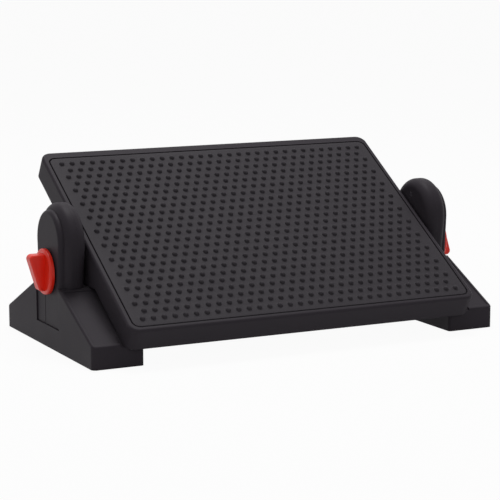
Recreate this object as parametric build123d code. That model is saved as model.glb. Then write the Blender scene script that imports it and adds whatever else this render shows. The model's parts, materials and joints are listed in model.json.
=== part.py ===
from build123d import *
import math
import os

# Footrest with a tilting tray between two uprights that stand in two feet.
# Millimetres. X runs across the footrest, +Y is the raised rear edge, +Z is up.
# The right half is drawn, and the left half is its mirror image.

# Overall sizes
tray_width = 428.8
tray_depth = 307.3
foot_length = 262.0
foot_top_height = 70.0
pivot_rise = 15.5
overrun = 5.0

# Running clearances
side_gap = 3.6
slide_gap = 0.4
seat_gap = 0.2
shaft_gap = 0.05
panel_gap = 0.5
stop_gap = 1.0

# Foot
foot_block_width = 32.0
foot_end_height = 25.0
foot_top_length = 74.0
foot_wall = 3.0
foot_lift = 0.4
foot_corner_radius = 5.5
foot_inner_corner_radius = 3.0
foot_lip_radius = 2.5
foot_rib_thickness = 2.4
foot_rib_pitch = 21.0
foot_rib_count = 2
flange_width = 26.8
flange_height = 18.6
ledge_width = 11.6
slope_panel_depth = 0.9
slope_panel_border = 4.0

# Slot in the foot for the leg of the upright
slot_opening = 68.0
slot_floor_height = 25.0
slot_lip = 2.4
slot_outer_wall = 4.2
slot_inner_wall = 4.6

# Floor pads
pad_radius = 8.0
pad_thickness = 2.6
pad_gap = 0.2
pad_end_distance = 16.0
pad_inner_distance = 13.0
pad_outer_distance = 15.0
pad_boss_wall = 2.0

# Upright
upright_head_radius = 42.3
upright_head_rise = 48.5
upright_base_width = 73.0
upright_thickness = 25.0
upright_edge_radius = 9.0
upright_inner_edge_radius = 11.0
upright_wall = 3.0
face_head_radius = 34.9
face_base_width = 64.0
face_recess = 1.5
face_edge_radius = 4.0
leg_face_gap = 0.3
leg_line_width = 1.2
leg_line_depth = 0.6
leg_line_place = 9.5
cover_depth = 12.0
pivot_boss_radius = 10.0

# Cover screws
screw_radius = 1.5
screw_length = 18.0
screw_head_radius = 3.0
screw_head_height = 1.8
screw_socket_radius = 1.1
screw_socket_depth = 1.0
screw_boss_radius = 4.0
screw_hole_gap = 0.2
cover_screw_spread = 20.0
cover_screw_low_rise = 11.0
cover_screw_high_rise = 24.0

# Tray
tray_skirt = 27.0
pivot_drop = 42.2
tray_wall = 3.0
tray_deck = 3.0
tray_corner_radius = 12.0
tray_edge_radius = 3.0
tray_rib_thickness = 2.4
tray_rib_depth = 12.0
tray_cross_ribs = 3
tray_long_ribs = 4

# Tread panel
panel_border = 5.5
rear_border = 10.8
panel_thickness = 3.4
panel_corner_radius = 9.0
panel_edge_bevel = 0.7
nub_radius = 2.9
nub_height = 1.7
nub_columns = 32
nub_rows = 23
nub_side_margin = 14.0
nub_end_margin = 12.2
panel_boss_radius = 4.0
panel_boss_gap = 0.4
panel_boss_columns = 3
panel_screw_length = 8.0
panel_washer_radius = 7.0
panel_washer_thickness = 1.2

# Lugs that carry the tray on its bolts
lug_thickness = 13.0
lug_radius = 14.5
lug_top_width = 64.0
lug_pad_radius = 14.0
friction_washer_thickness = 2.4

# Pivot bolt
bolt_radius = 4.0
bolt_head_width = 13.0
bolt_head_height = 5.3
bolt_reach = 12.5
bolt_tip_bevel = 1.0

# Clamp washer and knob
clamp_washer_radius = 12.0
clamp_washer_thickness = 2.8
knob_foot_gap = 0.3
knob_radius = 25.5
knob_disc = 5.1
knob_disc_radius = 2.6
knob_recess_gap = 0.3
wing_thickness = 15.0
wing_tall_reach = 23.0
wing_short_reach = 10.6
wing_top = 20.0
wing_bottom = 21.0
wing_corner_radius = 5.0
wing_edge_radius = 2.6
insert_radius = 5.6
insert_length = 12.0
insert_collar_radius = 6.6
insert_collar_length = 1.5

# Heights worked out from the sizes above
pivot_height = foot_top_height + pivot_rise
upright_base_height = foot_top_height + seat_gap
upright_head_height = foot_top_height + upright_head_rise
cover_screw_low_height = foot_top_height + cover_screw_low_rise
cover_screw_high_height = upright_head_height + cover_screw_high_rise

# Planes across the footrest
inner_plane = tray_width / 2 + side_gap
foot_outer = inner_plane + foot_block_width
foot_inner = inner_plane - flange_width
ledge_plane = inner_plane - ledge_width
face_plane = foot_outer - face_recess
cover_plane = inner_plane + cover_depth
body_plane = inner_plane + upright_thickness
slot_inner_plane = inner_plane + slot_inner_wall
slot_outer_plane = foot_outer - slot_outer_wall
slot_width = slot_opening + 2 * slot_lip
lug_plane = tray_width / 2 - tray_wall

# Tray sizes measured from its pivot axis
panel_width = tray_width - 2 * panel_border
panel_depth = tray_depth - panel_border - rear_border
front_reach = panel_depth / 2 + panel_border
rear_reach = panel_depth / 2 + rear_border
tray_middle = (rear_reach - front_reach) / 2
deck_top = pivot_drop - panel_thickness
deck_bottom = deck_top - tray_deck
skirt_bottom = pivot_drop - tray_skirt
panel_screw_seat = deck_bottom - panel_washer_thickness - screw_head_height

# The tray is steepest where its front edge comes down on the flanges of the feet
front_edge_reach = math.hypot(front_reach, skirt_bottom)
front_edge_lead = math.atan2(skirt_bottom, front_reach)
front_edge_drop = pivot_height - flange_height - stop_gap
tray_tilt = math.degrees(math.asin(front_edge_drop / front_edge_reach) + front_edge_lead)

# Washers and knob on the pivot bolt
friction_washer_radius = skirt_bottom - panel_gap
friction_washer_plane = inner_plane - seat_gap - friction_washer_thickness
washer_plane = face_plane + seat_gap
knob_seat_plane = washer_plane + clamp_washer_thickness + seat_gap
knob_plane = foot_outer + knob_foot_gap


def cross_face(points):
    """Face in the YZ plane through a closed list of (y, z) points."""
    return make_face(Plane.YZ * Polyline(*points, close=True))


def across(face, start, end):
    """Solid swept along X from one plane to another."""
    return extrude(Pos(start, 0, 0) * face, amount=end - start, dir=(1, 0, 0))


def block(low, high):
    """Box between two corners."""
    size = [b - a for a, b in zip(low, high)]
    centre = [(a + b) / 2 for a, b in zip(low, high)]
    return Pos(*centre) * Box(*size)


def rod(radius, start, end, y=0.0, z=0.0):
    """Round bar along X."""
    centre = (start + end) / 2
    return Pos(centre, y, z) * Rot(0, 90, 0) * Cylinder(radius, end - start)


def post(radius, low, high, x, y):
    """Round bar along Z."""
    return Pos(x, y, (low + high) / 2) * Cylinder(radius, high - low)


def arch_face(head_radius, base_half, base_height):
    """Arch whose straight sides run tangent from its round head to its base."""
    drop = upright_head_height - base_height
    reach = math.hypot(base_half, drop)
    angle = math.acos(head_radius / reach) - math.atan2(drop, base_half)
    side_y = head_radius * math.cos(angle)
    side_z = upright_head_height + head_radius * math.sin(angle)
    top = (0, upright_head_height + head_radius)
    corners = [(-side_y, side_z), (-base_half, base_height)]
    corners += [(base_half, base_height), (side_y, side_z)]
    outline = Polyline(*corners)
    crown = ThreePointArc((side_y, side_z), top, (-side_y, side_z))
    return make_face(Plane.YZ * (outline + crown))


def arch(head_radius, base_half, base_height, start, end, edge_radius, inner=False):
    """Arch swept along X, with its outer or inner edge rounded except along its base."""
    solid = across(arch_face(head_radius, base_half, base_height), start, end)
    sides = solid.faces().sort_by(Axis.X)
    round_edges = sides[0].edges() if inner else sides[-1].edges()
    return fillet(round_edges.sort_by(Axis.Z)[1:], edge_radius)


def tray_relief():
    """Space over the foot's inner ledge that the side of the tray swings through."""
    end = foot_length / 2 + overrun
    slope = math.tan(math.radians(tray_tilt))
    middle = pivot_height + skirt_bottom / math.cos(math.radians(tray_tilt)) - stop_gap
    low = (-end, middle - end * slope)
    face = cross_face([low, (0, middle), (0, middle + overrun), (-end, middle + overrun)])
    return across(face, foot_inner, inner_plane)


def foot_form():
    """Outside of the right foot: a ramped block with a ledge and a low flange on its inner side."""
    end = foot_length / 2
    top = foot_top_length / 2
    ramp = [(-end, foot_lift), (-end, foot_end_height), (-top, foot_top_height)]
    ramp += [(-y, z) for y, z in reversed(ramp)]
    solid = across(cross_face(ramp), ledge_plane, foot_outer)
    upright_edges = solid.edges().filter_by(Axis.Z).group_by(Axis.X)[-1]
    solid = fillet(upright_edges, foot_corner_radius)
    lip_edges = solid.edges().filter_by(Axis.X).group_by(Axis.Z)[1]
    solid = fillet(lip_edges, foot_lip_radius) - tray_relief()
    flange = block((foot_inner, -end, foot_lift), (inner_plane, end, flange_height))
    flange = fillet(flange.edges().filter_by(Axis.Z).group_by(Axis.X)[0], foot_inner_corner_radius)
    return solid + flange


def foot_hollow():
    """Space under the right foot, one wall thickness inside its outside."""
    end = foot_length / 2 - foot_wall
    top = foot_top_length / 2
    ramp = [(-end, foot_lift), (-end, foot_end_height - foot_wall), (-top, foot_top_height - foot_wall)]
    ramp += [(-y, z) for y, z in reversed(ramp)]
    hollow = across(cross_face(ramp), ledge_plane + foot_wall, foot_outer - foot_wall)
    low = (foot_inner + foot_wall, -end, foot_lift)
    return hollow + block(low, (ledge_plane + foot_wall, end, flange_height - foot_wall))


def slope_panels():
    """Shallow recesses in the two ramps of the foot."""
    end = foot_length / 2
    top = foot_top_length / 2
    rise = foot_top_height - foot_end_height
    length = math.hypot(end - top, rise) - 2 * slope_panel_border
    width = foot_outer - ledge_plane - slope_panel_border
    angle = math.degrees(math.atan2(rise, end - top))
    recess = Box(width, length, 2 * slope_panel_depth)
    x = ledge_plane + width / 2
    y = (end + top) / 2
    z = (foot_end_height + foot_top_height) / 2
    front = Pos(x, -y, z) * Rot(angle, 0, 0) * recess
    rear = Pos(x, y, z) * Rot(-angle, 0, 0) * recess
    return front + rear


def foot_ribs(form):
    """Cross ribs under the foot."""
    ribs = []
    for side in (-1, 1):
        for number in range(foot_rib_count):
            y = side * (slot_width / 2 + foot_wall + foot_rib_pitch * (number + 1))
            low = (foot_inner + foot_wall, y - foot_rib_thickness / 2, foot_lift)
            high = (foot_outer - foot_wall, y + foot_rib_thickness / 2, foot_top_height)
            ribs.append(block(low, high) & form)
    return ribs


def pad_places():
    """Places of the four floor pads under the right foot."""
    y = foot_length / 2 - pad_end_distance
    inner = foot_inner + pad_inner_distance
    outer = foot_outer - pad_outer_distance
    return [(x, side * y) for x in (inner, outer) for side in (-1, 1)]


def foot():
    """Moulded foot: a ribbed shell with the slot for the upright's leg."""
    form = foot_form()
    solid = form - foot_hollow()
    housing_half = slot_width / 2 + foot_wall
    low = (inner_plane, -housing_half, slot_floor_height - foot_wall)
    solid += block(low, (foot_outer, housing_half, foot_top_height)) & form
    for rib in foot_ribs(form):
        solid += rib
    for x, y in pad_places():
        boss = post(pad_radius + pad_gap + pad_boss_wall, foot_lift, foot_top_height, x, y)
        solid += boss & form
        solid -= post(pad_radius + pad_gap, foot_lift - overrun, pad_thickness, x, y)
    solid -= slope_panels()
    low = (slot_inner_plane, -slot_width / 2, slot_floor_height)
    solid -= block(low, (slot_outer_plane, slot_width / 2, foot_top_height + overrun))
    low = (slot_outer_plane, -slot_opening / 2, slot_floor_height)
    solid -= block(low, (foot_outer + overrun, slot_opening / 2, foot_top_height + overrun))
    return solid


def floor_pads():
    """Rubber pads that the foot stands on."""
    return [post(pad_radius, 0, pad_thickness, x, y) for x, y in pad_places()]


def cover_screw_places():
    """Places (y, z) of the three screws that hold the cover of an upright."""
    low = [(side * cover_screw_spread, cover_screw_low_height) for side in (-1, 1)]
    return low + [(0, cover_screw_high_height)]


def upright_leg():
    """Leg of the upright: a hollow T section that slides in the foot."""
    low_z = slot_floor_height + seat_gap
    high_z = upright_base_height
    inner = slot_inner_plane + slide_gap
    outer = slot_outer_plane - slide_gap
    half = slot_width / 2 - slide_gap
    face_half = slot_opening / 2 - leg_face_gap
    leg = block((inner, -half, low_z), (outer, half, high_z))
    leg += block((outer, -face_half, low_z), (face_plane, face_half, high_z))
    core_low = (inner + upright_wall, upright_wall - half, low_z)
    leg -= block(core_low, (outer - upright_wall, half - upright_wall, high_z - upright_wall))
    line_low = leg_line_place - leg_line_width / 2
    line_high = leg_line_place + leg_line_width / 2
    line = block((face_plane - leg_line_depth, line_low, low_z), (face_plane, line_high, high_z))
    return leg - line


def upright_shell():
    """Outer shell of the upright, open to the inner side and closed by the cover."""
    base = upright_base_height
    base_half = upright_base_width / 2
    face_half = face_base_width / 2
    shell = arch(upright_head_radius, base_half, base, cover_plane, body_plane, upright_edge_radius)
    shell += arch(face_head_radius, face_half, base, cover_plane, face_plane, face_edge_radius)
    wall = upright_wall
    head = upright_head_radius - wall
    edge = upright_edge_radius - wall
    shell -= arch(head, base_half - wall, base + wall, cover_plane, body_plane - wall, edge)
    face_core = arch_face(face_head_radius - wall, face_half - wall, base + wall)
    shell -= across(face_core, cover_plane, face_plane - wall)
    shell += rod(pivot_boss_radius, cover_plane, face_plane - wall / 2, z=pivot_height)
    for y, z in cover_screw_places():
        shell += rod(screw_boss_radius, cover_plane, face_plane - wall / 2, y, z)
        shell -= rod(screw_radius, cover_plane, inner_plane + screw_length, y, z)
    shell += upright_leg()
    return shell - rod(bolt_radius + shaft_gap, cover_plane - overrun, foot_outer, z=pivot_height)


def upright_cover():
    """Inner half of the upright, with a round edge towards the tray."""
    base = upright_base_height
    base_half = upright_base_width / 2
    wall = upright_wall
    edge = upright_inner_edge_radius
    cover = arch(upright_head_radius, base_half, base, inner_plane, cover_plane, edge, True)
    head = upright_head_radius - wall
    start = inner_plane + wall
    cover -= arch(head, base_half - wall, base + wall, start, cover_plane, edge - wall, True)
    cover += rod(pivot_boss_radius, inner_plane + wall / 2, cover_plane, z=pivot_height)
    cover -= rod(bolt_radius + shaft_gap, inner_plane - overrun, cover_plane + overrun, z=pivot_height)
    head_hole = screw_head_radius + screw_hole_gap
    for y, z in cover_screw_places():
        cover += rod(screw_boss_radius, inner_plane + wall / 2, cover_plane, y, z)
        cover -= rod(screw_radius + screw_hole_gap, inner_plane, cover_plane, y, z)
        cover -= rod(head_hole, inner_plane, inner_plane + screw_head_height, y, z)
    return cover


def screw(length):
    """Self-tapping screw along +Z with the outside of its head at the origin."""
    head = Pos(0, 0, screw_head_height / 2) * Cylinder(screw_head_radius, screw_head_height)
    shank = Pos(0, 0, length / 2) * Cylinder(screw_radius, length)
    socket = Pos(0, 0, screw_socket_depth / 2) * Cylinder(screw_socket_radius, screw_socket_depth)
    return head + shank - socket


def cover_screws():
    """Three screws that hold the cover of the upright."""
    return [Pos(inner_plane, y, z) * Rot(0, 90, 0) * screw(screw_length) for y, z in cover_screw_places()]


def on_tray(piece):
    """Place a piece drawn on the level tray, whose pivot axis is the X axis."""
    return Pos(0, 0, pivot_height) * Rot(tray_tilt, 0, 0) * piece


def plate(width, depth, low, high, corner_radius):
    """Level plate with round corners."""
    return extrude(Pos(0, 0, low) * RectangleRounded(width, depth, corner_radius), amount=high - low)


def lug():
    """Lug under the right side of the tray, round about the pivot axis."""
    half = lug_top_width / 2
    reach = math.hypot(half, deck_top)
    angle = math.atan2(deck_top, half) - math.acos(lug_radius / reach)
    side_y = lug_radius * math.cos(angle)
    side_z = lug_radius * math.sin(angle)
    outline = Polyline((-side_y, side_z), (-half, deck_top), (half, deck_top), (side_y, side_z))
    end = ThreePointArc((side_y, side_z), (0, -lug_radius), (-side_y, side_z))
    face = make_face(Plane.YZ * (outline + end))
    return across(face, lug_plane - lug_thickness, lug_plane)


def bolt_head(gap):
    """Hexagonal head of the pivot bolt, or with a gap its pocket in the lug."""
    outline = RegularPolygon(bolt_head_width / 2 + gap, 6, major_radius=False)
    return extrude(Plane.YZ.offset(lug_plane - lug_thickness) * outline, amount=bolt_head_height)


def evenly(length, count):
    """Places that cut a length, centred on zero, into count equal parts, with its two ends."""
    return [length * (number / count - 1 / 2) for number in range(count + 1)]


def cell_middles(length, count):
    """Middles of count equal parts of a length centred on zero."""
    places = evenly(length, count)
    return [(a + b) / 2 for a, b in zip(places, places[1:])]


def tray_ribs():
    """Grid of ribs under the deck of the tray."""
    low_z = deck_bottom - tray_rib_depth
    half_width = tray_width / 2 - tray_wall
    front = front_reach - tray_wall
    rear = rear_reach - tray_wall
    half_rib = tray_rib_thickness / 2
    ribs = []
    for y in evenly(2 * front, tray_cross_ribs + 1)[1:-1]:
        low = (-half_width, y - half_rib, low_z)
        high = (half_width, y + half_rib, deck_bottom)
        ribs.append(block(low, high))
    for x in evenly(2 * half_width, tray_long_ribs + 1)[1:-1]:
        low = (x - half_rib, -front, low_z)
        high = (x + half_rib, rear, deck_bottom)
        ribs.append(block(low, high))
    return ribs


def panel_boss_places():
    """Places (x, y) of the tread panel's bosses, in the middles of cells between the ribs."""
    columns = cell_middles(tray_width - 2 * tray_wall, tray_long_ribs + 1)
    rows = cell_middles(2 * (front_reach - tray_wall), tray_cross_ribs + 1)
    every = tray_long_ribs // (panel_boss_columns - 1)
    return [(x, y) for x in columns[::every] for y in (rows[0], rows[-1])]


def tray():
    """Moulded tray: rim, skirt, ribbed deck and two lugs."""
    body = plate(tray_width, tray_depth, skirt_bottom, pivot_drop, tray_corner_radius)
    body = fillet(body.faces().sort_by(Axis.Z)[-1].edges(), tray_edge_radius)
    recess = plate(panel_width, panel_depth, deck_top, pivot_drop, panel_corner_radius)
    body -= Pos(0, -tray_middle, 0) * recess
    inner_radius = tray_corner_radius - tray_wall
    inner_width = tray_width - 2 * tray_wall
    inner_depth = tray_depth - 2 * tray_wall
    body -= plate(inner_width, inner_depth, skirt_bottom, deck_bottom, inner_radius)
    body = Pos(0, tray_middle, 0) * body
    for rib in tray_ribs():
        body += rib
    carrier = lug() + rod(lug_pad_radius, lug_plane, friction_washer_plane - seat_gap)
    carrier -= rod(bolt_radius + shaft_gap, lug_plane - lug_thickness, inner_plane)
    carrier -= bolt_head(shaft_gap)
    body += carrier
    body += mirror(carrier, about=Plane.YZ)
    for x, y in panel_boss_places():
        body -= post(panel_boss_radius + panel_boss_gap, deck_bottom - overrun, deck_top, x, y)
    return body


def nub():
    """One low dome of the tread, standing on the plane Z = 0."""
    dome_radius = (nub_radius ** 2 + nub_height ** 2) / (2 * nub_height)
    slab = Pos(0, 0, nub_height / 2) * Box(2 * dome_radius, 2 * dome_radius, nub_height)
    return Pos(0, 0, nub_height - dome_radius) * Sphere(dome_radius) & slab


def tread_panel():
    """Separate plate in the tray with staggered rows of low domes."""
    top = pivot_drop
    width = panel_width - 2 * panel_gap
    depth = panel_depth - 2 * panel_gap
    panel = plate(width, depth, deck_top, top, panel_corner_radius - panel_gap)
    panel = chamfer(panel.faces().sort_by(Axis.Z)[-1].edges(), panel_edge_bevel)
    for x, y in panel_boss_places():
        panel += post(panel_boss_radius, deck_bottom, deck_top, x, y)
        panel -= post(screw_radius, deck_bottom, panel_screw_seat + panel_screw_length, x, y)
    column_pitch = (panel_width - 2 * nub_side_margin) / (nub_columns - 1)
    row_pitch = (panel_depth - 2 * nub_end_margin) / (nub_rows - 1)
    dome = nub()
    domes = []
    for row in range(nub_rows):
        count = nub_columns - row % 2
        y = (row - (nub_rows - 1) / 2) * row_pitch
        for column in range(count):
            domes.append(Pos((column - (count - 1) / 2) * column_pitch, y, top) * dome)
    return panel + domes


def panel_screws():
    """Screws with wide washers that hold the tread panel from below."""
    washer = post(panel_washer_radius, deck_bottom - panel_washer_thickness, deck_bottom, 0, 0)
    fastener = washer + Pos(0, 0, panel_screw_seat) * screw(panel_screw_length)
    return [Pos(x, y, 0) * fastener for x, y in panel_boss_places()]


def pivot_bolt():
    """Bolt held by its head in the lug, running out through the upright to the knob."""
    inner = lug_plane - lug_thickness
    shank = rod(bolt_radius, inner, face_plane + bolt_reach)
    tip_edges = shank.faces().sort_by(Axis.X)[-1].edges()
    return bolt_head(0) + chamfer(tip_edges, bolt_tip_bevel)


def ring(outer_radius, start, thickness):
    """Washer on the pivot bolt."""
    end = start + thickness
    return rod(outer_radius, start, end) - rod(bolt_radius + shaft_gap, start, end)


def friction_washer():
    """Washer between the tray and the upright."""
    return ring(friction_washer_radius, friction_washer_plane, friction_washer_thickness)


def clamp_washer():
    """Washer between the upright and the knob."""
    return ring(clamp_washer_radius, washer_plane, clamp_washer_thickness)


def knob_insert():
    """Brass insert in the knob, with a collar at its inner end."""
    collar = ring(insert_collar_radius, knob_seat_plane, insert_collar_length)
    return collar + ring(insert_radius, knob_seat_plane, insert_length)


def knob():
    """Moulded wing knob: a round disc with a tapering upright wing."""
    disc = rod(knob_radius, knob_plane, knob_plane + knob_disc)
    disc = fillet(disc.faces().sort_by(Axis.X)[-1].edges(), knob_disc_radius)
    foot_x = knob_plane + knob_disc / 2
    outline = Polyline(
        (foot_x, -wing_bottom),
        (knob_plane + wing_short_reach, -wing_bottom),
        (knob_plane + wing_tall_reach, wing_top),
        (foot_x, wing_top),
        close=True,
    )
    wing = extrude(make_face(Plane.XZ * outline), amount=wing_thickness / 2, both=True)
    outer_ends = wing.edges().filter_by(Axis.Y).group_by(Axis.X)
    wing = fillet(outer_ends[-1] + outer_ends[-2], wing_corner_radius)
    side_edges = wing.faces().filter_by(Axis.Y).edges()
    free_edges = [edge for edge in side_edges if edge.center().X > foot_x + wing_edge_radius]
    solid = disc + fillet(free_edges, wing_edge_radius)
    recess_radius = clamp_washer_radius + knob_recess_gap
    solid -= rod(recess_radius, knob_plane, knob_seat_plane)
    solid -= rod(insert_collar_radius, knob_seat_plane, knob_seat_plane + insert_collar_length)
    return solid - rod(insert_radius, knob_seat_plane, knob_seat_plane + insert_length)


def at_pivot(piece):
    """Move a piece drawn about the X axis to the pivot axis."""
    return Pos(0, 0, pivot_height) * piece


def turned_over(piece):
    """Turn a piece drawn about the X axis by half a turn."""
    return Rot(180, 0, 0) * piece


def right_pieces():
    """Named pieces of the right side, as lists of solids."""
    return {
        "foot": [foot()],
        "floor_pads": floor_pads(),
        "upright_shell": [upright_shell()],
        "upright_cover": [upright_cover()],
        "cover_screws": cover_screws(),
        "pivot_bolt": [on_tray(pivot_bolt())],
        "friction_washer": [on_tray(friction_washer())],
        "clamp_washer": [at_pivot(clamp_washer())],
        "knob": [at_pivot(turned_over(knob()))],
        "knob_insert": [at_pivot(knob_insert())],
    }


def all_pieces():
    """Every piece of the footrest by its name."""
    pieces = {
        "platform_tray": [on_tray(tray())],
        "tread_panel": [on_tray(tread_panel())],
        "panel_screws": [on_tray(piece) for piece in panel_screws()],
    }
    for name, solids in right_pieces().items():
        pieces[name + "_right"] = solids
        pieces[name + "_left"] = [mirror(solid, about=Plane.YZ) for solid in solids]
    pieces["knob_left"] = [mirror(at_pivot(knob()), about=Plane.YZ)]
    return pieces


def main():
    """Write one file per piece, with the origin under the middle of the whole footrest."""
    shapes = {}
    for name, pieces in all_pieces().items():
        shapes[name] = Compound([solid for piece in pieces for solid in piece.solids()])
    bounds = [shape.bounding_box() for shape in shapes.values()]
    front = min(box.min.Y for box in bounds)
    rear = max(box.max.Y for box in bounds)
    middle = (front + rear) / 2
    os.makedirs("parts", exist_ok=True)
    for name, shape in shapes.items():
        export_step(shape.locate(Location((0, -middle, 0))), os.path.join("parts", name + ".step"))
    print("pivot axis: y", round(-middle, 3), "z", pivot_height, "tilt", round(tray_tilt, 3))


main()
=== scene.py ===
import json
import math

import bmesh
import bpy
from bpy.props import FloatProperty, FloatVectorProperty, IntProperty, PointerProperty
from mathutils import Matrix, Vector


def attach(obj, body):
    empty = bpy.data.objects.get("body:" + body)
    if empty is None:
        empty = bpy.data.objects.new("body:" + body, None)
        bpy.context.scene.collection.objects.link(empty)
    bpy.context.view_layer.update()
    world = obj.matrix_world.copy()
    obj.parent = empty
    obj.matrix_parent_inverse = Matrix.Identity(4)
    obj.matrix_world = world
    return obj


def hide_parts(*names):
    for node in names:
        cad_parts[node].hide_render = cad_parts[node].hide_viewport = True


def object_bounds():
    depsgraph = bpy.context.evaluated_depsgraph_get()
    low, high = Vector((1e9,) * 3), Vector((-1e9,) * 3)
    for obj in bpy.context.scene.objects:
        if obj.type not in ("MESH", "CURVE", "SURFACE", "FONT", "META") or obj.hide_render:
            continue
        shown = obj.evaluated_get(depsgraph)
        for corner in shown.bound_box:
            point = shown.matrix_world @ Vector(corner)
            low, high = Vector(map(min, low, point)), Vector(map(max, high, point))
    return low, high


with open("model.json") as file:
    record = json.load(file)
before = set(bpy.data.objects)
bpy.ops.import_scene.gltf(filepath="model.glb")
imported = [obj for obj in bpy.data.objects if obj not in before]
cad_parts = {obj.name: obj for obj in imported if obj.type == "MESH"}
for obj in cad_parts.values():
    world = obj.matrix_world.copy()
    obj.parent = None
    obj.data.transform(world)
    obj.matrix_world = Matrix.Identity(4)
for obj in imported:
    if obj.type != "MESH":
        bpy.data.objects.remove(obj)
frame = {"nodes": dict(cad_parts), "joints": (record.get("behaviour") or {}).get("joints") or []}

bl_info = {
    "name": "Tilting footrest",
    "version": (1, 0, 0),
    "blender": (4, 5, 0),
    "location": "3D View > Sidebar > Footrest",
    "description": "Builds the surfaces, finishes and studio of a tilting footrest",
    "category": "Object",
}

MM = 0.001

# A dome's cell is this many squares of the panel's net wide and deep.
CELL = 4
# Rings of a dome, as shares of the angle from its top to its foot.
DOME_RINGS = (0.82, 0.58, 0.34, 0.14)
# Rise of the hollow round at a dome's foot, as a share of its width.
FOOT_RISE = 0.25
# Direction of the lower left corner, where each ring of points starts.
RING_START = math.radians(-135)
# Steps in the panel's round edge and round a cheek, and sides of the floor.
EDGE_STEPS = 4
CHEEK_STEPS = 24
FLOOR_SIDES = 64

# Clouds in the gloss of polypropylene: their width in grains, and the change in roughness.
CLOUD_GRAINS = 60
GLOSS_CHANGE = 0.05
# A mix node has several sockets of one name. These are the numbers of its colours.
MIX_FIRST, MIX_SECOND, MIX_RESULT = 6, 7, 2

# Metres
KEY_PLACE = (0.25, 0.5, 2.5)
KEY_SIZE = 1.0
FILL_PLACE = (-0.9, -2.3, 1.5)
FILL_SIZE = 1.0

CAD_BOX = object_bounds()
JOINTS = {joint["name"]: joint for joint in frame["joints"]}
PIVOT = Vector(JOINTS["tilt"]["pos_m"])
TRAY_TILT = -math.radians(JOINTS["tilt"]["range_deg"][0])
ON_TRAY = Matrix.Translation(PIVOT) @ Matrix.Rotation(TRAY_TILT, 4, "X")


def linear(code):
    """Linear colour of an sRGB hex value."""
    parts = [int(code[i:i + 2], 16) / 255 for i in (1, 3, 5)]
    return [p / 12.92 if p <= 0.04045 else ((p + 0.055) / 1.055) ** 2.4 for p in parts]


def length(name, description, millimetres):
    """Size in the sidebar, in metres."""
    return FloatProperty(
        name=name, description=description, default=millimetres * MM, min=0, unit="LENGTH")


def count(name, description, number):
    """Whole number in the sidebar."""
    return IntProperty(name=name, description=description, default=number, min=1)


def colour(name, description, code):
    """Colour in the sidebar."""
    return FloatVectorProperty(
        name=name, description=description, default=linear(code), min=0, max=1, subtype="COLOR")


def share(name, description, value):
    """Number between nought and one in the sidebar."""
    return FloatProperty(
        name=name, description=description, default=value, min=0, max=1, subtype="FACTOR")


def power(name, description, watts):
    """Power of a lamp in the sidebar."""
    return FloatProperty(
        name=name, description=description, default=watts, min=0, unit="POWER")


def turn(name, description, degrees):
    """Angle in the sidebar."""
    return FloatProperty(
        name=name, description=description, default=math.radians(degrees), subtype="ANGLE")


class StudioSettings(bpy.types.PropertyGroup):
    """Floor, light and camera."""
    floor_colour: colour("Floor", "Colour of the studio floor", "#cfcfcf")
    floor_white: share("Floor white", "How far the camera sees the floor as plain white", 0.95)
    floor_radius: length("Floor radius", "Radius of the floor", 30000)
    sky_strength: FloatProperty(
        name="Sky", description="Brightness of the room around the object", default=0.38, min=0)
    key_power: power("Key lamp", "Power of the large lamp above", 42)
    fill_power: power("Fill lamp", "Power of the lamp in front", 4)
    camera_place: FloatVectorProperty(
        name="Camera", description="Place of the camera",
        default=(-0.9648, -1.8984, 0.4485), subtype="TRANSLATION")
    camera_pitch: turn("Pitch", "Camera's angle below the horizon", 9.51)
    camera_yaw: turn("Yaw", "Camera's turn to the right", 26.84)
    camera_lens: FloatProperty(
        name="Lens", description="Focal length in millimetres", default=134.7, min=1)


class FinishSettings(bpy.types.PropertyGroup):
    """Colours of the pieces."""
    black: colour("Black polypropylene", "Moulding of tray, feet and uprights", "#322e33")
    tread: colour("Tread polypropylene", "Moulding of the tread panel", "#373438")
    red: colour("Red nylon", "Moulding of the knobs", "#e4240d")
    rubber: colour("Rubber", "Floor pads", "#161616")
    zinc: colour("Zinc", "Plating of bolts, screws and washers", "#c9cbd0")
    lacquer: colour("Lacquer", "Lacquer on the screws in the inner covers", "#343036")
    brass: colour("Brass", "Inserts of the knobs", "#d9b96a")
    fibre: colour("Fibre", "Friction washers", "#6b5138")
    # The real grain is about 0.1 mm wide, too fine to show, so it is drawn this coarse.
    grain: length("Grain", "Width of one grain of the moulded texture", 0.9)


class TreadSettings(bpy.types.PropertyGroup):
    """Sizes of the tread panel and its domes."""
    width: length("Width", "Width of the tread panel", 415.0)
    depth: length("Depth", "Depth of the tread panel", 288.2)
    top: length("Top", "Height of the panel's face above the pivot axis", 42.2)
    thickness: length("Thickness", "Thickness of the panel", 3.4)
    corner_radius: length("Corner radius", "Round corners of the panel", 7.6)
    edge_radius: length("Edge radius", "Round edge of the panel", 0.5)
    nub_radius: length("Dome radius", "Radius of one dome", 3.1)
    nub_height: length("Dome height", "Height of one dome", 3.1)
    nub_foot: length("Dome foot", "Hollow round at the foot of a dome", 0.4)
    columns: count("Columns", "Domes in a long row", 32)
    rows: count("Rows", "Rows of domes", 23)
    side_margin: length("Side margin", "From the side of the panel to the first dome", 12.6)
    end_margin: length("End margin", "From the end of the panel to the first row", 10.8)


class TraySettings(bpy.types.PropertyGroup):
    """Sizes of the tray's cheeks."""
    tray_width: length("Tray width", "Width of the tray", 428.8)
    cheek_width: length("Cheek width", "Width of a cheek where it leaves the skirt", 104.0)
    cheek_top: length("Cheek top", "Height of the skirt's lower edge above the pivot axis", 15.2)
    cheek_radius: length("Cheek radius", "Round end of a cheek about the pivot axis", 14.4)
    cheek_thickness: length("Cheek thickness", "Thickness of a cheek", 3.0)


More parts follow.
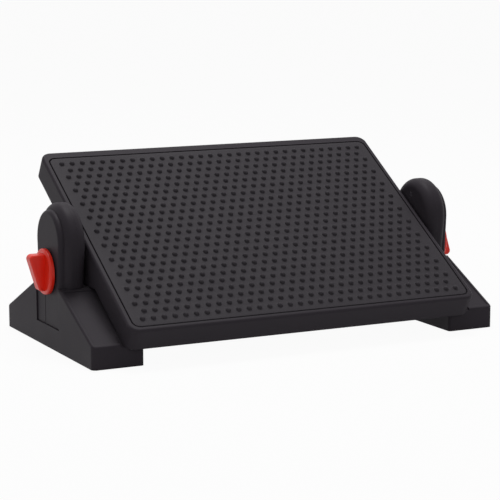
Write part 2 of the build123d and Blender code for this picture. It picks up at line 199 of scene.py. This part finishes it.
def add_node(tree, kind, inputs=(), outputs=(), **settings):
    """Add a node with its settings, fill or link its inputs, and link its outputs."""
    node = tree.nodes.new(kind)
    for name, value in settings.items():
        setattr(node, name, value)
    for socket, value in inputs:
        if isinstance(value, bpy.types.NodeSocket):
            tree.links.new(value, node.inputs[socket])
        else:
            node.inputs[socket].default_value = value
    for socket, target in outputs:
        tree.links.new(node.outputs[socket], target)
    return node


def new_material(name):
    """Empty node material with its output, its shader and the piece's own coordinates."""
    material = bpy.data.materials.new(name)
    material.use_nodes = True
    tree = material.node_tree
    tree.nodes.clear()
    shader = add_node(tree, "ShaderNodeBsdfPrincipled")
    add_node(tree, "ShaderNodeOutputMaterial", [("Surface", shader.outputs["BSDF"])])
    place = add_node(tree, "ShaderNodeTexCoord").outputs["Object"]
    return material, tree, shader, place


def two_tones(value, contrast):
    """Two colours to mix, a little darker and a little lighter than the given one."""
    shares = ((MIX_FIRST, 1 - contrast), (MIX_SECOND, 1 + contrast))
    return [(socket, (*[c * factor for c in value], 1)) for socket, factor in shares]


def vary(tree, shader, pattern, value, contrast, smooth, rough, clouds=None):
    """Let a pattern vary a surface's colour, and its gloss too unless clouds do that."""
    add_node(
        tree, "ShaderNodeMix", [("Factor", pattern), *two_tones(value, contrast)],
        [(MIX_RESULT, shader.inputs["Base Color"])], data_type="RGBA")
    level = pattern if clouds is None else clouds
    add_node(
        tree, "ShaderNodeMapRange", [("Value", level), ("To Min", smooth), ("To Max", rough)],
        [("Result", shader.inputs["Roughness"])])


def moulded_polypropylene(name, value, depth, roughness, contrast):
    """Polypropylene from a spark-eroded mould: satin black, its gloss dulled by an even grain."""
    material, tree, shader, place = new_material(name)
    grain = bpy.context.scene.footrest_finish.grain
    inputs = [("Vector", place), ("Scale", 1 / grain), ("Detail", 3.0), ("Roughness", 0.6)]
    fine = add_node(tree, "ShaderNodeTexNoise", inputs).outputs["Fac"]
    inputs = [("Vector", place), ("Scale", 1 / (grain * CLOUD_GRAINS))]
    clouds = add_node(tree, "ShaderNodeTexNoise", inputs).outputs["Fac"]
    smooth, rough = roughness - GLOSS_CHANGE, roughness + GLOSS_CHANGE
    vary(tree, shader, fine, value, contrast, smooth, rough, clouds)
    soft = add_node(tree, "ShaderNodeBevel", [("Radius", 0.7 * MM)], samples=6)
    inputs = [("Height", fine), ("Distance", depth), ("Strength", 1.0)]
    inputs.append(("Normal", soft.outputs["Normal"]))
    add_node(tree, "ShaderNodeBump", inputs, [("Normal", shader.inputs["Normal"])])
    shader.inputs["IOR"].default_value = 1.49
    shader.inputs["Specular IOR Level"].default_value = 0.06
    return material


def moulded_nylon(name, value):
    """Coloured nylon from a polished mould: smooth and semi-glossy, with faint flow marks."""
    material, tree, shader, place = new_material(name)
    inputs = [("Vector", place), ("Scale", 1 / (9 * MM)), ("Detail", 1.0)]
    flow = add_node(tree, "ShaderNodeTexNoise", inputs).outputs["Fac"]
    inputs = [("Vector", place), ("Scale", 1 / (0.8 * MM))]
    ripple = add_node(tree, "ShaderNodeTexNoise", inputs).outputs["Fac"]
    vary(tree, shader, flow, value, contrast=0.08, smooth=0.3, rough=0.4)
    inputs = [("Height", ripple), ("Distance", 0.01 * MM), ("Strength", 1.0)]
    add_node(tree, "ShaderNodeBump", inputs, [("Normal", shader.inputs["Normal"])])
    shader.inputs["IOR"].default_value = 1.53
    shader.inputs["Specular IOR Level"].default_value = 0.3
    return material


def moulded_rubber(name, value):
    """Cured rubber: quite dull, with a soft bloom and a fine pitted skin."""
    material, tree, shader, place = new_material(name)
    inputs = [("Vector", place), ("Scale", 1 / (6 * MM)), ("Detail", 4.0)]
    bloom = add_node(tree, "ShaderNodeTexNoise", inputs).outputs["Fac"]
    inputs = [("Vector", place), ("Scale", 1 / (0.5 * MM))]
    pits = add_node(tree, "ShaderNodeTexNoise", inputs).outputs["Fac"]
    vary(tree, shader, bloom, value, contrast=0.2, smooth=0.8, rough=0.92)
    inputs = [("Height", pits), ("Distance", 0.05 * MM), ("Strength", 1.0)]
    add_node(tree, "ShaderNodeBump", inputs, [("Normal", shader.inputs["Normal"])])
    shader.inputs["IOR"].default_value = 1.52
    return material


def plated_zinc(name, value):
    """Bright zinc plating: a pale metal with small spangles of differing gloss."""
    material, tree, shader, place = new_material(name)
    inputs = [("Vector", place), ("Scale", 1 / (1.5 * MM))]
    spangles = add_node(tree, "ShaderNodeTexVoronoi", inputs).outputs["Distance"]
    vary(tree, shader, spangles, value, contrast=0.06, smooth=0.28, rough=0.42)
    shader.inputs["Metallic"].default_value = 1.0
    return material


def lacquered_steel(name, value):
    """Steel under dipped black lacquer: dark and satin, with faint sags in the film."""
    material, tree, shader, place = new_material(name)
    inputs = [("Vector", place), ("Scale", 1 / (1.2 * MM)), ("Detail", 3.0)]
    film = add_node(tree, "ShaderNodeTexNoise", inputs).outputs["Fac"]
    vary(tree, shader, film, value, contrast=0.1, smooth=0.42, rough=0.55)
    return material


def turned_brass(name, value):
    """Turned brass: a yellow metal with fine, even tool marks."""
    material, tree, shader, place = new_material(name)
    # Real tool marks are about 0.15 mm apart, too fine to show, so they are drawn this coarse.
    inputs = [("Vector", place), ("Scale", 1 / (0.6 * MM)), ("Distortion", 0.4)]
    marks = add_node(tree, "ShaderNodeTexWave", inputs, bands_direction="X").outputs["Fac"]
    vary(tree, shader, marks, value, contrast=0.08, smooth=0.22, rough=0.34)
    shader.inputs["Metallic"].default_value = 1.0
    return material


def pressed_fibre(name, value):
    """Vulcanised fibre: brown, matt and mottled with matted threads."""
    material, tree, shader, place = new_material(name)
    # Real threads are under 0.1 mm thick, too fine to show, so they are drawn this coarse.
    inputs = [("Vector", place), ("Scale", 1 / (0.7 * MM)), ("Detail", 6.0), ("Roughness", 0.7)]
    threads = add_node(tree, "ShaderNodeTexNoise", inputs).outputs["Fac"]
    vary(tree, shader, threads, value, contrast=0.3, smooth=0.7, rough=0.85)
    inputs = [("Height", threads), ("Distance", 0.05 * MM), ("Strength", 1.0)]
    add_node(tree, "ShaderNodeBump", inputs, [("Normal", shader.inputs["Normal"])])
    return material


def seen_directly(tree):
    """One for camera, reflected and refracted rays, and nought for the rays that only light."""
    path = add_node(tree, "ShaderNodeLightPath").outputs
    seen = path["Is Camera Ray"]
    for ray in ("Is Glossy Ray", "Is Transmission Ray"):
        inputs = [(0, seen), (1, path[ray])]
        seen = add_node(tree, "ShaderNodeMath", inputs, operation="MAXIMUM").outputs["Value"]
    return seen


def painted_floor(name, value, white):
    """Pale studio floor: dull paint with a barely visible mottle, seen as nearly plain white."""
    material, tree, shader, place = new_material(name)
    inputs = [("Vector", place), ("Scale", 1 / (200 * MM)), ("Detail", 3.0)]
    mottle = add_node(tree, "ShaderNodeTexNoise", inputs).outputs["Fac"]
    add_node(
        tree, "ShaderNodeMix", [("Factor", mottle), *two_tones(value, contrast=0.005)],
        [(MIX_RESULT, shader.inputs["Base Color"])], data_type="RGBA")
    shader.inputs["Roughness"].default_value = 1.0
    shader.inputs["Specular IOR Level"].default_value = 0.0
    glow = add_node(tree, "ShaderNodeEmission", [("Color", (1, 1, 1, 1)), ("Strength", 1.0)])
    inputs = [(0, seen_directly(tree)), (1, white)]
    part = add_node(tree, "ShaderNodeMath", inputs, operation="MULTIPLY").outputs["Value"]
    inputs = [("Fac", part), (1, shader.outputs["BSDF"]), (2, glow.outputs["Emission"])]
    output = next(node for node in tree.nodes if node.type == "OUTPUT_MATERIAL")
    add_node(tree, "ShaderNodeMixShader", inputs, [("Shader", output.inputs["Surface"])])
    return material


# Maker, colour and further values of each look. The polypropylene's are the depth of its
# grain, its roughness and how far its grain varies in tone.
LOOKS = {
    "black_polypropylene": (moulded_polypropylene, "black", 0.05 * MM, 0.5, 0.15),
    "tread_polypropylene": (moulded_polypropylene, "tread", 0.08 * MM, 0.55, 0.4),
    "red_nylon": (moulded_nylon, "red"),
    "black_rubber": (moulded_rubber, "rubber"),
    "zinc_steel": (plated_zinc, "zinc"),
    "lacquered_steel": (lacquered_steel, "lacquer"),
    "brass": (turned_brass, "brass"),
    "fibre": (pressed_fibre, "fibre"),
}


def finish(look):
    """Surface of the given name, made at its first use."""
    name = look + "_surface"
    if name not in bpy.data.materials:
        maker, paint, *values = LOOKS[look]
        maker(name, getattr(bpy.context.scene.footrest_finish, paint), *values)
    return bpy.data.materials[name]


def dress(node, slot, look=None):
    """Give a carried-over node the finish of its slot, or another look of the same material."""
    piece = frame["nodes"][node]
    piece.data.materials.clear()
    piece.data.materials.append(finish(look or slot))


def new_piece(name, bm, slot, body, nodes, sharp=40):
    """Make a finished piece of a mesh. It rides on its body and stands for its nodes, if any."""
    bmesh.ops.recalc_face_normals(bm, faces=bm.faces)
    mesh = bpy.data.meshes.new(name)
    bm.to_mesh(mesh)
    bm.free()
    mesh.shade_smooth()
    mesh.set_sharp_from_angle(angle=math.radians(sharp))
    mesh.materials.append(finish(slot))
    piece = bpy.data.objects.new(name, mesh)
    bpy.context.scene.collection.objects.link(piece)
    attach(piece, body)
    if nodes:
        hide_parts(*nodes)
    return piece


def ring_of_faces(bm, lower, upper):
    """Band of faces between two closed rings of vertices."""
    for i in range(len(lower)):
        j = (i + 1) % len(lower)
        bm.faces.new((lower[i], lower[j], upper[j], upper[i]))


def loft(bm, rings):
    """Skin over closed rings of points, open at both ends. Returns its rings of vertices."""
    made = [[bm.verts.new(point) for point in ring] for ring in rings]
    for lower, upper in zip(made, made[1:]):
        ring_of_faces(bm, lower, upper)
    return made


def side_point(half_width, half_depth, radius, fraction, side):
    """Point on one side of a rounded rectangle, between the middles of two corners."""
    if side % 2:
        half_width, half_depth = half_depth, half_width
    arc = radius * math.pi / 4
    straight = 2 * (half_width - radius)
    along = fraction * (straight + 2 * arc)
    if along < arc:
        angle = RING_START + along / radius
        x = radius - half_width + radius * math.cos(angle)
        y = radius - half_depth + radius * math.sin(angle)
    elif along > arc + straight:
        angle = math.radians(-90) + (along - arc - straight) / radius
        x = half_width - radius + radius * math.cos(angle)
        y = radius - half_depth + radius * math.sin(angle)
    else:
        x = radius - half_width + along - arc
        y = -half_depth
    return Matrix.Rotation(side * math.pi / 2, 2) @ Vector((x, y))


def dome_profile(sizes):
    """Rings (radius, height) of one dome, from its hollow foot to just below its top."""
    ball = (sizes.nub_radius ** 2 + sizes.nub_height ** 2) / (2 * sizes.nub_height)
    edge = math.asin(sizes.nub_radius / ball)
    rings = [(sizes.nub_radius + sizes.nub_foot, 0), (sizes.nub_radius, sizes.nub_foot * FOOT_RISE)]
    for angle_share in DOME_RINGS:
        angle = edge * angle_share
        rings.append((ball * math.sin(angle), sizes.nub_height - ball * (1 - math.cos(angle))))
    return rings


def add_dome(bm, border, centre, profile, height):
    """Dome inside a cell, with as many sides as the cell's border has vertices."""
    outer = border
    for radius, rise in profile:
        inner = []
        for step in range(len(border)):
            angle = RING_START + step * math.tau / len(border)
            offset = Vector((radius * math.cos(angle), radius * math.sin(angle), rise))
            inner.append(bm.verts.new(centre + offset))
        ring_of_faces(bm, outer, inner)
        outer = inner
    top = bm.verts.new(centre + Vector((0, 0, height)))
    for i in range(len(outer)):
        bm.faces.new((outer[i], outer[(i + 1) % len(outer)], top))


def rectangle(i, j, across, along):
    """Corners of the net's squares round a rectangle of it, each once."""
    right, upper = i + across, j + along
    ring = [(i + k, j) for k in range(across)] + [(right, j + k) for k in range(along)]
    ring += [(right - k, upper) for k in range(across)]
    return ring + [(i, upper - k) for k in range(along)]


def tread_face(bm, sizes):
    """Rows of domes joined by one net of faces. Returns the border of the net."""
    square_x = (sizes.width - 2 * sizes.side_margin) / (sizes.columns - 1) / CELL
    square_y = (sizes.depth - 2 * sizes.end_margin) / (sizes.rows - 1) / CELL
    across = CELL * sizes.columns
    along = CELL * sizes.rows
    half = CELL // 2
    net = {}

    def place_of(i, j):
        return Vector(((i - across / 2) * square_x, (j - along / 2) * square_y, sizes.top))

    def corner(i, j):
        if (i, j) not in net:
            net[i, j] = bm.verts.new(place_of(i, j))
        return net[i, j]

    profile = dome_profile(sizes)
    for row in range(sizes.rows):
        j = CELL * row
        start = half * (row % 2)
        for column in range(sizes.columns - row % 2):
            i = start + CELL * column
            around = rectangle(i, j, CELL, CELL)
            border = [corner(*place) for place in around]
            add_dome(bm, border, place_of(i + half, j + half), profile, sizes.nub_height)
        if start:
            for i in (*range(half), *range(across - half, across)):
                for k in range(j, j + CELL):
                    bm.faces.new([corner(*place) for place in rectangle(i, k, 1, 1)])
    return [corner(*place) for place in rectangle(0, 0, across, along)]


def panel_ring(sizes, inset, height):
    """Ring round the tread panel with as many points as the border of its net of domes."""
    half = (sizes.width / 2 - inset, sizes.depth / 2 - inset)
    radius = sizes.corner_radius - inset
    points = []
    for side in range(4):
        steps = CELL * (sizes.rows if side % 2 else sizes.columns)
        for step in range(steps):
            x, y = side_point(*half, radius, step / steps, side)
            points.append(Vector((x, y, height)))
    return points


def tread_panel_mesh(sizes):
    """Tread panel with its domes, its round edge and its flat back."""
    bm = bmesh.new()
    border = tread_face(bm, sizes)
    edge = sizes.edge_radius
    rings = []
    for step in range(EDGE_STEPS + 1):
        angle = math.radians(90) * step / EDGE_STEPS
        inset = edge * (1 - math.sin(angle))
        rings.append(panel_ring(sizes, inset, sizes.top - edge * (1 - math.cos(angle))))
    rings.append(panel_ring(sizes, 0, sizes.top - sizes.thickness))
    made = loft(bm, rings)
    ring_of_faces(bm, border, made[0])
    bm.faces.new(reversed(made[-1]))
    return bm


def place_on_tray(bm):
    """Move a mesh drawn on the level tray to where the tilted tray holds it."""
    bmesh.ops.transform(bm, matrix=ON_TRAY, verts=bm.verts)
    return bm


class FOOTREST_OT_tread_panel(bpy.types.Operator):
    """Build the tread panel with its rows of domes"""
    bl_idname = "footrest.tread_panel"
    bl_label = "Tread panel"

    def execute(self, context):
        bm = place_on_tray(tread_panel_mesh(context.scene.footrest_tread))
        slot = "tread_polypropylene"
        new_piece("tread_panel_domed", bm, slot, "platform", ["tread_panel"], sharp=80)
        return {"FINISHED"}


def cheek_outline(sizes):
    """Outline (y, z) of a cheek about the pivot axis, round below and widening to the skirt."""
    half = sizes.cheek_width / 2
    reach = math.hypot(half, sizes.cheek_top)
    start = math.atan2(sizes.cheek_top, half) - math.acos(sizes.cheek_radius / reach)
    points = [(-half, sizes.cheek_top), (half, sizes.cheek_top)]
    for step in range(CHEEK_STEPS + 1):
        angle = start - step / CHEEK_STEPS * (math.pi + 2 * start)
        points.append((sizes.cheek_radius * math.cos(angle), sizes.cheek_radius * math.sin(angle)))
    return points


def cheeks_mesh(sizes):
    """Two plates with which the tray's skirt reaches down over its pivots."""
    bm = bmesh.new()
    outline = cheek_outline(sizes)
    for side in (-1, 1):
        outer = side * sizes.tray_width / 2
        inner = outer - side * sizes.cheek_thickness
        made = loft(bm, [[(x, y, z) for y, z in outline] for x in (inner, outer)])
        for ring in made:
            bm.faces.new(ring)
    return bm


class FOOTREST_OT_tray_cheeks(bpy.types.Operator):
    """Build the cheeks by which the tray's skirt reaches down over its pivots"""
    bl_idname = "footrest.tray_cheeks"
    bl_label = "Tray cheeks"

    def execute(self, context):
        bm = place_on_tray(cheeks_mesh(context.scene.footrest_tray))
        new_piece("tray_cheeks", bm, "black_polypropylene", "platform", [])
        return {"FINISHED"}


class FOOTREST_OT_mouldings(bpy.types.Operator):
    """Finish the tray, the feet, the uprights and their covers"""
    bl_idname = "footrest.mouldings"
    bl_label = "Mouldings"

    def execute(self, context):
        dress("platform_tray", "black_polypropylene")
        for side in ("left", "right"):
            for node in ("foot", "upright_shell", "upright_cover"):
                dress(f"{node}_{side}", "black_polypropylene")
        return {"FINISHED"}


class FOOTREST_OT_knobs(bpy.types.Operator):
    """Finish the two wing knobs and their inserts"""
    bl_idname = "footrest.knobs"
    bl_label = "Knobs"

    def execute(self, context):
        for side in ("left", "right"):
            dress(f"knob_{side}", "red_nylon")
            dress(f"knob_insert_{side}", "brass")
        return {"FINISHED"}


class FOOTREST_OT_hardware(bpy.types.Operator):
    """Finish the bolts, screws, washers and floor pads"""
    bl_idname = "footrest.hardware"
    bl_label = "Hardware"

    def execute(self, context):
        dress("panel_screws", "zinc_steel")
        for side in ("left", "right"):
            dress(f"floor_pads_{side}", "black_rubber")
            dress(f"friction_washer_{side}", "fibre")
            dress(f"cover_screws_{side}", "zinc_steel", "lacquered_steel")
            for node in ("pivot_bolt", "clamp_washer"):
                dress(f"{node}_{side}", "zinc_steel")
        return {"FINISHED"}


def white_room(strength):
    """World of even, weak light that the camera sees as plain white."""
    world = bpy.data.worlds.new("studio_room")
    world.use_nodes = True
    tree = world.node_tree
    tree.nodes.clear()
    inputs = [("Value", seen_directly(tree)), ("To Min", strength), ("To Max", 1.0)]
    level = add_node(tree, "ShaderNodeMapRange", inputs).outputs["Result"]
    sky = add_node(tree, "ShaderNodeBackground", [("Color", (1, 1, 1, 1)), ("Strength", level)])
    add_node(tree, "ShaderNodeOutputWorld", [("Surface", sky.outputs["Background"])])
    return world


def add_floor(settings):
    """Round pale floor."""
    bm = bmesh.new()
    bmesh.ops.create_circle(
        bm, cap_ends=True, segments=FLOOR_SIDES, radius=settings.floor_radius)
    mesh = bpy.data.meshes.new("studio_floor")
    bm.to_mesh(mesh)
    bm.free()
    paint = painted_floor("studio_floor_paint", settings.floor_colour, settings.floor_white)
    mesh.materials.append(paint)
    floor = bpy.data.objects.new("studio_floor", mesh)
    bpy.context.scene.collection.objects.link(floor)


def add_lamp(name, place, target, size, watts):
    """Large square lamp that looks at a point."""
    data = bpy.data.lights.new(name, "AREA")
    data.shape = "SQUARE"
    data.size = size
    data.energy = watts
    lamp = bpy.data.objects.new(name, data)
    lamp.location = place
    lamp.rotation_euler = (target - Vector(place)).to_track_quat("-Z", "Y").to_euler()
    bpy.context.scene.collection.objects.link(lamp)


class FOOTREST_OT_studio(bpy.types.Operator):
    """Set up the floor, the soft light and the camera"""
    bl_idname = "footrest.studio"
    bl_label = "Studio"

    def execute(self, context):
        settings = context.scene.footrest_studio
        add_floor(settings)
        middle = (CAD_BOX[0] + CAD_BOX[1]) / 2
        add_lamp("key_lamp", KEY_PLACE, middle, KEY_SIZE, settings.key_power)
        add_lamp("fill_lamp", FILL_PLACE, middle, FILL_SIZE, settings.fill_power)
        context.scene.world = white_room(settings.sky_strength)
        data = bpy.data.cameras.new("camera")
        data.lens = settings.camera_lens
        camera = bpy.data.objects.new("camera", data)
        camera.location = settings.camera_place
        camera.rotation_euler = (math.radians(90) - settings.camera_pitch, 0, -settings.camera_yaw)
        context.scene.collection.objects.link(camera)
        context.scene.camera = camera
        context.scene.view_settings.view_transform = "Standard"
        return {"FINISHED"}


OPERATORS = (
    FOOTREST_OT_studio,
    FOOTREST_OT_tread_panel,
    FOOTREST_OT_tray_cheeks,
    FOOTREST_OT_mouldings,
    FOOTREST_OT_knobs,
    FOOTREST_OT_hardware,
)
SETTINGS = {
    "footrest_studio": StudioSettings,
    "footrest_finish": FinishSettings,
    "footrest_tread": TreadSettings,
    "footrest_tray": TraySettings,
}


class FOOTREST_PT_sidebar(bpy.types.Panel):
    """Sizes, colours and steps of the footrest"""
    bl_label = "Footrest"
    bl_space_type = "VIEW_3D"
    bl_region_type = "UI"
    bl_category = "Footrest"

    def draw(self, context):
        for name, group in SETTINGS.items():
            box = self.layout.box()
            for prop in group.__annotations__:
                box.prop(getattr(context.scene, name), prop)
        for operator in OPERATORS:
            self.layout.operator(operator.bl_idname)


CLASSES = (*SETTINGS.values(), *OPERATORS, FOOTREST_PT_sidebar)


def register():
    for item in CLASSES:
        bpy.utils.register_class(item)
    for name, group in SETTINGS.items():
        setattr(bpy.types.Scene, name, PointerProperty(type=group))


def unregister():
    for name in SETTINGS:
        delattr(bpy.types.Scene, name)
    for item in reversed(CLASSES):
        bpy.utils.unregister_class(item)


def main():
    """Build every piece."""
    register()
    bpy.ops.footrest.studio()
    bpy.ops.footrest.tread_panel()
    bpy.ops.footrest.tray_cheeks()
    bpy.ops.footrest.mouldings()
    bpy.ops.footrest.knobs()
    bpy.ops.footrest.hardware()


if __name__ == "__main__":
    main()
